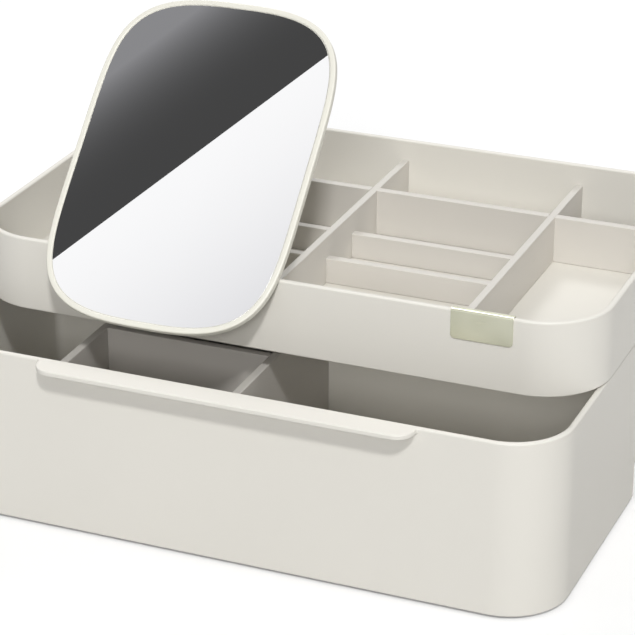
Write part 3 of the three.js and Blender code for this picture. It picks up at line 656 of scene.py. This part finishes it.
def superellipseTree():
    # every level is the outline drawn in along its own normal; a level with shrink 1 closes in the middle
    tree = bpy.data.node_groups.new("superellipsePlate", "GeometryNodeTree")
    face = tree.interface
    face.new_socket("Profile", in_out="INPUT", socket_type="NodeSocketGeometry")
    for name in ("Half Width", "Half Height", "Power Across", "Power Up"):
        face.new_socket(name, in_out="INPUT", socket_type="NodeSocketFloat")
    for name in ("Facets", "Levels"):
        face.new_socket(name, in_out="INPUT", socket_type="NodeSocketInt")
    face.new_socket("Finish", in_out="INPUT", socket_type="NodeSocketMaterial")
    face.new_socket("Plate", in_out="OUTPUT", socket_type="NodeSocketGeometry")
    given = addNode(tree, "NodeGroupInput").outputs
    columns = addNode(tree, "ShaderNodeMath", {0: given["Facets"], 1: 1.0}, operation="ADD").outputs[0]
    grid = addNode(tree, "GeometryNodeMeshGrid", {"Size X": 1.0, "Size Y": 1.0, "Vertices X": columns,
                                                  "Vertices Y": given["Levels"]}).outputs[0]
    here = addNode(tree, "GeometryNodeInputPosition").outputs[0]
    share = addNode(tree, "ShaderNodeSeparateXYZ", {"Vector": here}).outputs
    angle = addNode(tree, "ShaderNodeMapRange", {"Value": share["X"], "From Min": -0.5, "From Max": 0.5,
                                                 "To Min": pi / 4, "To Max": 9 * pi / 4}).outputs[0]
    last = addNode(tree, "ShaderNodeMath", {0: given["Levels"], 1: 1.0}, operation="SUBTRACT").outputs[0]
    level = addNode(tree, "ShaderNodeMapRange", {"Value": share["Y"], "From Min": -0.5, "From Max": 0.5,
                                                 "To Max": last}).outputs[0]
    nearest = addNode(tree, "ShaderNodeMath", {0: level}, operation="ROUND").outputs[0]
    sample = addNode(tree, "GeometryNodeSampleIndex", data_type="FLOAT_VECTOR", domain="POINT")
    tree.links.new(given["Profile"], sample.inputs["Geometry"])
    tree.links.new(here, sample.inputs["Value"])
    tree.links.new(nearest, sample.inputs["Index"])
    # the profile holds inset, height and shrink in place of x, y and z
    step = addNode(tree, "ShaderNodeSeparateXYZ", {"Vector": sample.outputs[0]}).outputs
    spots, normals = [], []
    for turn, size, power in (("COSINE", given["Half Width"], given["Power Across"]),
                              ("SINE", given["Half Height"], given["Power Up"])):
        wave = addNode(tree, "ShaderNodeMath", {0: angle}, operation=turn).outputs[0]
        sign = addNode(tree, "ShaderNodeMath", {0: wave}, operation="SIGN").outputs[0]
        part = addNode(tree, "ShaderNodeMath", {0: wave}, operation="ABSOLUTE").outputs[0]
        root = addNode(tree, "ShaderNodeMath", {0: 2.0, 1: power}, operation="DIVIDE").outputs[0]
        reach = addNode(tree, "ShaderNodeMath", {0: part, 1: root}, operation="POWER").outputs[0]
        full = addNode(tree, "ShaderNodeMath", {0: reach, 1: size}, operation="MULTIPLY").outputs[0]
        spots.append(addNode(tree, "ShaderNodeMath", {0: full, 1: sign}, operation="MULTIPLY").outputs[0])
        lower = addNode(tree, "ShaderNodeMath", {0: power, 1: 1.0}, operation="SUBTRACT").outputs[0]
        slope = addNode(tree, "ShaderNodeMath", {0: reach, 1: lower}, operation="POWER").outputs[0]
        steep = addNode(tree, "ShaderNodeMath", {0: slope, 1: power}, operation="MULTIPLY").outputs[0]
        even = addNode(tree, "ShaderNodeMath", {0: steep, 1: size}, operation="DIVIDE").outputs[0]
        normals.append(addNode(tree, "ShaderNodeMath", {0: even, 1: sign}, operation="MULTIPLY").outputs[0])
    edge = addNode(tree, "ShaderNodeCombineXYZ", {"X": spots[0], "Y": spots[1]}).outputs[0]
    normal = addNode(tree, "ShaderNodeCombineXYZ", {"X": normals[0], "Y": normals[1]}).outputs[0]
    unit = addNode(tree, "ShaderNodeVectorMath", {0: normal}, operation="NORMALIZE").outputs[0]
    drawn = addNode(tree, "ShaderNodeVectorMath", {0: unit, "Scale": step["X"]}, operation="SCALE").outputs[0]
    inner = addNode(tree, "ShaderNodeVectorMath", {0: edge, 1: drawn}, operation="SUBTRACT").outputs[0]
    kept = addNode(tree, "ShaderNodeMath", {0: 1.0, 1: step["Z"]}, operation="SUBTRACT").outputs[0]
    flat = addNode(tree, "ShaderNodeVectorMath", {0: inner, "Scale": kept}, operation="SCALE").outputs[0]
    lift = addNode(tree, "ShaderNodeCombineXYZ", {"Z": step["Y"]}).outputs[0]
    spot = addNode(tree, "ShaderNodeVectorMath", {0: flat, 1: lift}, operation="ADD").outputs[0]
    moved = addNode(tree, "GeometryNodeSetPosition", {"Geometry": grid, "Position": spot}).outputs[0]
    welded = addNode(tree, "GeometryNodeMergeByDistance",
                     {"Geometry": moved, "Distance": plateWeld}).outputs[0]
    real = addNode(tree, "GeometryNodeRealizeInstances", {"Geometry": welded}).outputs[0]
    painted = addNode(tree, "GeometryNodeSetMaterial",
                      {"Geometry": real, "Material": given["Finish"]}).outputs[0]
    addNode(tree, "NodeGroupOutput", {"Plate": painted})
    return tree


superellipse = superellipseTree()


def plateFromProfile(pairs, plateFinish, name):  # pairs of inset and height, closed in the middle
    steps = [(*pairs[0], 1), *((*pair, 0) for pair in pairs), (*pairs[-1], 1)]
    base = bpy.data.meshes.new(name)
    base.from_pydata(steps, [(i, i + 1) for i in range(len(steps) - 1)], [])
    values = {"Half Width": mirror["halfWidth"], "Half Height": mirror["halfHeight"],
              "Power Across": mirror["across"], "Power Up": mirror["up"], "Facets": mirror["facets"],
              "Levels": len(steps), "Finish": plateFinish}
    mesh = grown(superellipse, base, values, name)
    bm = bmesh.new()
    bm.from_mesh(mesh)
    bmesh.ops.remove_doubles(bm, verts=bm.verts, dist=plateWeld)
    return meshFrom(name, bm)


def lean(mesh, m=mirror):  # from the plane of the mirror to its place against the rim
    t = m["tilt"]
    up, out = Vector((0, sin(t), cos(t))), Vector((0, -cos(t), sin(t)))
    place = Vector((m["x"], 0, trayRim)) + up * m["rise"] + out * m["gap"]
    turn = Matrix(((1, up.x, out.x, place.x), (0, up.y, out.y, place.y), (0, up.z, out.z, place.z),
                   (0, 0, 0, 1)))
    mesh.transform(turn)
    return mesh


def makeMirrorFrame(m, s, floor):
    thick, e, lipIn, r = m["thickness"], m["edge"], m["lip"], m["lipRound"]
    rim = [(e + m["backIn"], 0)]
    rim += roundedEdge(e, e, e, -pi / 2, -pi)
    rim += roundedEdge(e, thick - e, e, pi, pi / 2)
    rim += roundedEdge(lipIn - r, thick - r, r, pi / 2, 0)
    rim += [(lipIn, floor), (lipIn + m["floorIn"], floor)]
    frameMesh = plateFromProfile(rim, framePlastic, "mirrorFrame")
    spots = [(x, s["up"] - m["rise"]) for x in (-s["x"], s["x"])]
    frameMesh = carve(frameMesh, rods(spots, s["radius"], s["end"], s["root"]), "UNION")
    finish("mirrorFrame", lean(frameMesh), framePlastic, "mirror", ["mirror_frame"])


def makeMirrorGlass(m, g):
    front, back = m["thickness"] - g["sunk"], m["thickness"] - g["back"]
    side, ground = m["lip"] + g["gap"], g["ground"]
    edge = [(side + g["edgeIn"], back), (side, back + g["edgeUp"]), (side, front - ground),
            (side + ground, front), (side + g["faceIn"], front)]
    finish("mirrorGlass", lean(plateFromProfile(edge, mirrorSilver, "mirrorGlass")), mirrorSilver, "mirror",
           ["mirror_glass"])


def makeMirrorTape(t, floor):
    low, high, inset, e = floor + t["gap"], floor + t["top"], t["inset"], t["edge"]
    edge = [(inset + e, low), (inset, low + e), (inset, high - e), (inset + e, high)]
    finish("mirrorTape", lean(plateFromProfile(edge, whiteFoam, "mirrorTape")), whiteFoam, "mirror",
           ["mirror_tape"])


pocketFloor = mirror["thickness"] - mirror["pocket"]
makeMirrorFrame(mirror, stake, pocketFloor)
makeMirrorGlass(mirror, glass)
makeMirrorTape(tape, pocketFloor)
print("mirror made")


# screws and feet: one turned shape set on every spot

turning = {"axis": 0.001, "weld": 0.004}  # a profile is swept round a hair-thin circle, then closed


def fastenerTree():
    tree = bpy.data.node_groups.new("turnedFasteners", "GeometryNodeTree")
    face = tree.interface
    face.new_socket("Spots", in_out="INPUT", socket_type="NodeSocketGeometry")
    face.new_socket("Profile", in_out="INPUT", socket_type="NodeSocketObject")
    face.new_socket("Facets", in_out="INPUT", socket_type="NodeSocketInt")
    face.new_socket("Cut Recess", in_out="INPUT", socket_type="NodeSocketBool")
    for name in ("Recess Length", "Recess Width", "Recess Depth"):
        face.new_socket(name, in_out="INPUT", socket_type="NodeSocketFloat")
    face.new_socket("Finish", in_out="INPUT", socket_type="NodeSocketMaterial")
    face.new_socket("Pieces", in_out="OUTPUT", socket_type="NodeSocketGeometry")
    given = addNode(tree, "NodeGroupInput").outputs
    profile = addNode(tree, "GeometryNodeObjectInfo", {"Object": given["Profile"]}).outputs["Geometry"]
    outline = addNode(tree, "GeometryNodeMeshToCurve", {"Mesh": profile}).outputs[0]
    turn = addNode(tree, "GeometryNodeCurvePrimitiveCircle",
                   {"Resolution": given["Facets"], "Radius": turning["axis"]}).outputs[0]
    turned = addNode(tree, "GeometryNodeCurveToMesh", {"Curve": turn, "Profile Curve": outline}).outputs[0]
    welded = addNode(tree, "GeometryNodeMergeByDistance",
                     {"Geometry": turned, "Distance": turning["weld"]}).outputs[0]
    bars = []
    for order in (("Recess Length", "Recess Width"), ("Recess Width", "Recess Length")):
        size = addNode(tree, "ShaderNodeCombineXYZ", {"X": given[order[0]], "Y": given[order[1]],
                                                      "Z": given["Recess Depth"]}).outputs[0]
        bars.append(addNode(tree, "GeometryNodeMeshCube", {"Size": size}).outputs[0])
    crossed = addNode(tree, "GeometryNodeMeshBoolean", operation="DIFFERENCE", solver="EXACT")
    tree.links.new(welded, crossed.inputs["Mesh 1"])
    for bar in bars:
        tree.links.new(bar, crossed.inputs["Mesh 2"])
    chosen = addNode(tree, "GeometryNodeSwitch",
                     {"Switch": given["Cut Recess"], "False": welded, "True": crossed.outputs[0]},
                     input_type="GEOMETRY").outputs[0]
    placed = addNode(tree, "GeometryNodeInstanceOnPoints",
                     {"Points": given["Spots"], "Instance": chosen}).outputs[0]
    real = addNode(tree, "GeometryNodeRealizeInstances", {"Geometry": placed}).outputs[0]
    painted = addNode(tree, "GeometryNodeSetMaterial",
                      {"Geometry": real, "Material": given["Finish"]}).outputs[0]
    addNode(tree, "NodeGroupOutput", {"Pieces": painted})
    return tree


fasteners = fastenerTree()
screw = {"head": 2.8, "headHeight": 1.6, "headEdge": ((0.1, -0.15), (0.05, -0.03), (0.3, 0)), "shank": 1.4,
         "tipWidth": 0.4, "tip": 1.5, "recessLength": 2.8, "recessWidth": 0.7, "recessDepth": 1.6,
         "facets": 28, "trayLength": 12, "baseLength": 11, "traySunk": 0.3, "baseZ": 2.2, "baseX": 78.7,
         "baseY": (150.8, 183)}
foot = {"radius": 6, "height": 2.9, "edge": 0.6, "edgeBend": 0.18, "topEdge": 0.2, "x": 132, "y": (18, 174)}


def fastenerSet(name, profile, spots, z, material, cutRecess, flip=False):  # flip turns the heads down
    line = bpy.data.meshes.new(name)
    upright = [(r, -h, 0) for r, h in profile]  # the sweep turns the second coordinate upside down
    line.from_pydata(upright, [(i, i + 1) for i in range(len(profile) - 1)], [])
    pattern = newObject(name + "Profile", line)
    points = bpy.data.meshes.new(name)
    points.from_pydata([(x, -y if flip else y, 0) for x, y in spots], [], [])
    values = {"Profile": pattern, "Facets": screw["facets"], "Cut Recess": cutRecess,
              "Recess Length": screw["recessLength"], "Recess Width": screw["recessWidth"],
              "Recess Depth": screw["recessDepth"], "Finish": material}
    mesh = grown(fasteners, points, values, name)
    remove(pattern)
    if flip:
        mesh.transform(Matrix.Rotation(pi, 4, "X"))
    mesh.transform(Matrix.Translation((0, 0, z)))
    bm = bmesh.new()
    bm.from_mesh(mesh)
    return meshFrom(name, bm)


def screwProfile(s, length):  # (radius, height) from the tip to the middle of the head
    head, shank = s["head"], s["shank"]
    return [(0, -length), (shank * s["tipWidth"], -length), (shank, -length + s["tip"]),
            (shank, -s["headHeight"]), *((head - inset, z) for inset, z in s["headEdge"]), (0, 0)]


def footProfile(f):
    radius, height, edge, bend, top = f["radius"], f["height"], f["edge"], f["edgeBend"], f["topEdge"]
    return [(0, 0), (radius - edge, 0), (radius - bend, bend), (radius, edge), (radius, height - top),
            (radius - top, height), (0, height)]


def makeFasteners(s, f):
    feet = [(side * f["x"], y) for y in f["y"] for side in (-1, 1)]
    mesh = fastenerSet("rubberFeet", footProfile(f), feet, 0, greyRubber, False)
    finish("rubberFeet", mesh, greyRubber, "housing",
           [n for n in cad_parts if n.startswith("rubber_foot")])
    mesh = fastenerSet("trayScrews", screwProfile(s, s["trayLength"]), tray["screwSpots"],
                       floorTop - s["traySunk"], zincSteel, True)
    finish("trayScrews", mesh, zincSteel, "housing", ["tray_screw_left", "tray_screw_right"])
    spots = [(side * s["baseX"], y) for y in s["baseY"] for side in (-1, 1)]
    mesh = fastenerSet("baseScrews", screwProfile(s, s["baseLength"]), spots, s["baseZ"], zincSteel, True,
                       flip=True)
    finish("baseScrews", mesh, zincSteel, "housing",
           [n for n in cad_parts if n.startswith("base_screw")])


makeFasteners(screw, foot)
print("screws and feet made")


# solids that keep their CAD shape and only take a finish

def dress(name, material):
    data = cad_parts[name].data
    data.materials.clear()
    data.materials.append(material)


dress("base_plate", shellPlastic)
dress("mirror_hook", framePlastic)


# floor, lights and camera

studio = {"floorColour": "#CACACA", "floorDrift": "#C8C8C8", "floorSeen": "#EEEEEE", "floorGlow": 0.11,
          "floorHalf": 6, "floorGap": 0.0002, "floorCloudMm": 400, "floorRoughness": 0.9, "aim": (0, 0, 0.08),
          "skyLow": 0.06, "skyHigh": 0.72, "skyGloss": 0.8,
          "keyPower": 800, "keySize": 1.1, "keySpot": (3.6, -7.26, 9.43),
          "frontPower": 72, "frontSize": 1.2, "frontSpot": (1.1, -4.5, 2.1),
          "sidePower": 32, "sideSize": 1.2, "sideSpot": (5.0, 0.6, 2.2),
          "backPower": 230, "backSize": 2.6, "backSpot": (-3.4, 5.6, 7.0)}


def makeFloor(s):
    bm = bmesh.new()
    bmesh.ops.create_grid(bm, x_segments=1, y_segments=1, size=s["floorHalf"])
    floor = newObject("paleFloor", meshFrom("paleFloor", bm))
    floor.location.z = -s["floorGap"]
    material, tree, shader = startMaterial("paleStudioSweep")
    place = addNode(tree, "ShaderNodeTexCoord").outputs["Object"]
    shade = addNode(tree, "ShaderNodeTexNoise",
                    {"Vector": place, "Scale": scaleFor(s["floorCloudMm"])}).outputs[0]
    mix = addNode(tree, "ShaderNodeMix",
                  {0: shade, 6: hexColour(s["floorColour"]), 7: hexColour(s["floorDrift"])}, data_type="RGBA")
    seen = addNode(tree, "ShaderNodeLightPath").outputs["Is Camera Ray"]
    tone = addNode(tree, "ShaderNodeMix", {0: seen, 6: mix.outputs[2], 7: hexColour(s["floorSeen"])},
                   data_type="RGBA")
    tree.links.new(tone.outputs[2], shader.inputs["Base Color"])
    shader.inputs["Roughness"].default_value = s["floorRoughness"]
    shader.inputs["Emission Color"].default_value = (1, 1, 1, 1)
    glow = addNode(tree, "ShaderNodeMath", {0: seen, 1: s["floorGlow"]}, operation="MULTIPLY").outputs[0]
    tree.links.new(glow, shader.inputs["Emission Strength"])
    floor.data.materials.append(material)


def areaLight(name, spot, target, size, power):
    data = bpy.data.lights.new(name, "AREA")
    data.size = size
    data.energy = power
    light = newObject(name, data)
    light.location = spot
    light.rotation_euler = (Vector(target) - Vector(spot)).to_track_quat("-Z", "Y").to_euler()


def makeWorld(s):
    # soft light that grows from the horizon to the zenith; the camera sees plain white
    world = bpy.data.worlds.new("whiteStudio")
    world.use_nodes = True
    tree = world.node_tree
    background = tree.nodes["Background"]
    background.inputs["Color"].default_value = (1, 1, 1, 1)
    place = addNode(tree, "ShaderNodeTexCoord").outputs["Generated"]
    height = addNode(tree, "ShaderNodeSeparateXYZ", {"Vector": place}).outputs["Z"]
    climb = addNode(tree, "ShaderNodeMath", {0: height, 1: height}, operation="MULTIPLY").outputs[0]
    glow = addNode(tree, "ShaderNodeMapRange",
                   {"Value": climb, "To Min": s["skyLow"], "To Max": s["skyHigh"]}).outputs[0]
    rays = addNode(tree, "ShaderNodeLightPath").outputs
    gloss = addNode(tree, "ShaderNodeMix", {0: rays["Is Glossy Ray"], 2: glow, 3: s["skyGloss"]}).outputs[0]
    seen = addNode(tree, "ShaderNodeMix", {0: rays["Is Camera Ray"], 2: gloss, 3: 1.0}).outputs[0]
    tree.links.new(seen, background.inputs["Strength"])
    scene.world = world
    scene.view_settings.view_transform = "Standard"


mirrorCard = {"first": (-549.9, -428.0, 915.6), "last": (-357.6, -272.3, 1078.5),
              "dark": (-521.2, -326.6, 1003.1),
              "before": 260, "beyond": 260, "depth": 420, "bright": 420,
              "darkTone": "#454545", "darkFar": "#8C8C8E", "darkReach": 105, "darkBend": 4,
              "brightTone": "#FFFFFF", "brightFar": "#D8D8DB", "brightReach": -190, "brightBend": 1.5}


def makeMirrorCard(c):
    # a two-tone card that only reflections see; its seam is the slanting line across the glass
    first, last, dark = Vector(c["first"]), Vector(c["last"]), Vector(c["dark"])
    along = (last - first).normalized()
    away = dark - first
    away = (away - along * away.dot(along)).normalized()
    a, b = first - along * c["before"], last + along * c["beyond"]
    corners = [a - away * c["bright"], b - away * c["bright"], b, a, b + away * c["depth"],
               a + away * c["depth"]]
    mesh = bpy.data.meshes.new("mirrorCard")
    mesh.from_pydata([((p + Vector((0, frontY, 0))) * mm)[:] for p in corners], [],
                     [(0, 1, 2, 3), (3, 2, 4, 5)])
    card = newObject("mirrorCard", mesh)
    for number, tone in enumerate(("bright", "dark")):
        material = bpy.data.materials.new(tone + "Card")
        material.use_nodes = True
        tree = material.node_tree
        tree.nodes.clear()
        place = addNode(tree, "ShaderNodeTexCoord").outputs["Object"]
        start = (first + Vector((0, frontY, 0))) * mm
        offset = addNode(tree, "ShaderNodeVectorMath", {0: place, 1: start}, operation="SUBTRACT").outputs[0]
        run = addNode(tree, "ShaderNodeVectorMath", {0: offset, 1: away},
                      operation="DOT_PRODUCT").outputs["Value"]
        share = addNode(tree, "ShaderNodeMapRange",
                        {"Value": run, "From Max": c[tone + "Reach"] * mm}).outputs[0]
        bent = addNode(tree, "ShaderNodeMath", {0: share, 1: c[tone + "Bend"]}, operation="POWER").outputs[0]
        mix = addNode(tree, "ShaderNodeMix", {0: bent, 6: hexColour(c[tone + "Tone"]),
                                              7: hexColour(c[tone + "Far"])}, data_type="RGBA").outputs[2]
        glow = addNode(tree, "ShaderNodeEmission", {"Color": mix})
        addNode(tree, "ShaderNodeOutputMaterial", {"Surface": glow.outputs[0]})
        mesh.materials.append(material)
        mesh.polygons[number].material_index = number
    card.visible_diffuse = card.visible_shadow = card.visible_camera = False


makeFloor(studio)
makeWorld(studio)
makeMirrorCard(mirrorCard)
for light in ("key", "front", "side", "back"):
    areaLight(light + "Softbox", studio[light + "Spot"], studio["aim"], studio[light + "Size"],
              studio[light + "Power"])

view = {"lens": 149.492, "sensor": 36, "reach": 20, "azimuth": radians(22.45), "elevation": radians(24.28),
        "spot": (454.19, -1033.64, 616.4)}


def makeCamera(v):
    camera = newObject("photoCamera", bpy.data.cameras.new("photoCamera"))
    camera.data.lens = v["lens"]
    camera.data.sensor_width = v["sensor"]
    camera.data.clip_end = v["reach"]
    x, y, z = v["spot"]
    camera.location = Vector((x, y + frontY, z)) * mm
    a, e = v["azimuth"], v["elevation"]
    gaze = Vector((-sin(a) * cos(e), cos(a) * cos(e), -sin(e)))
    camera.rotation_euler = gaze.to_track_quat("-Z", "Y").to_euler()
    scene.camera = camera


makeCamera(view)
print("stage and camera ready")
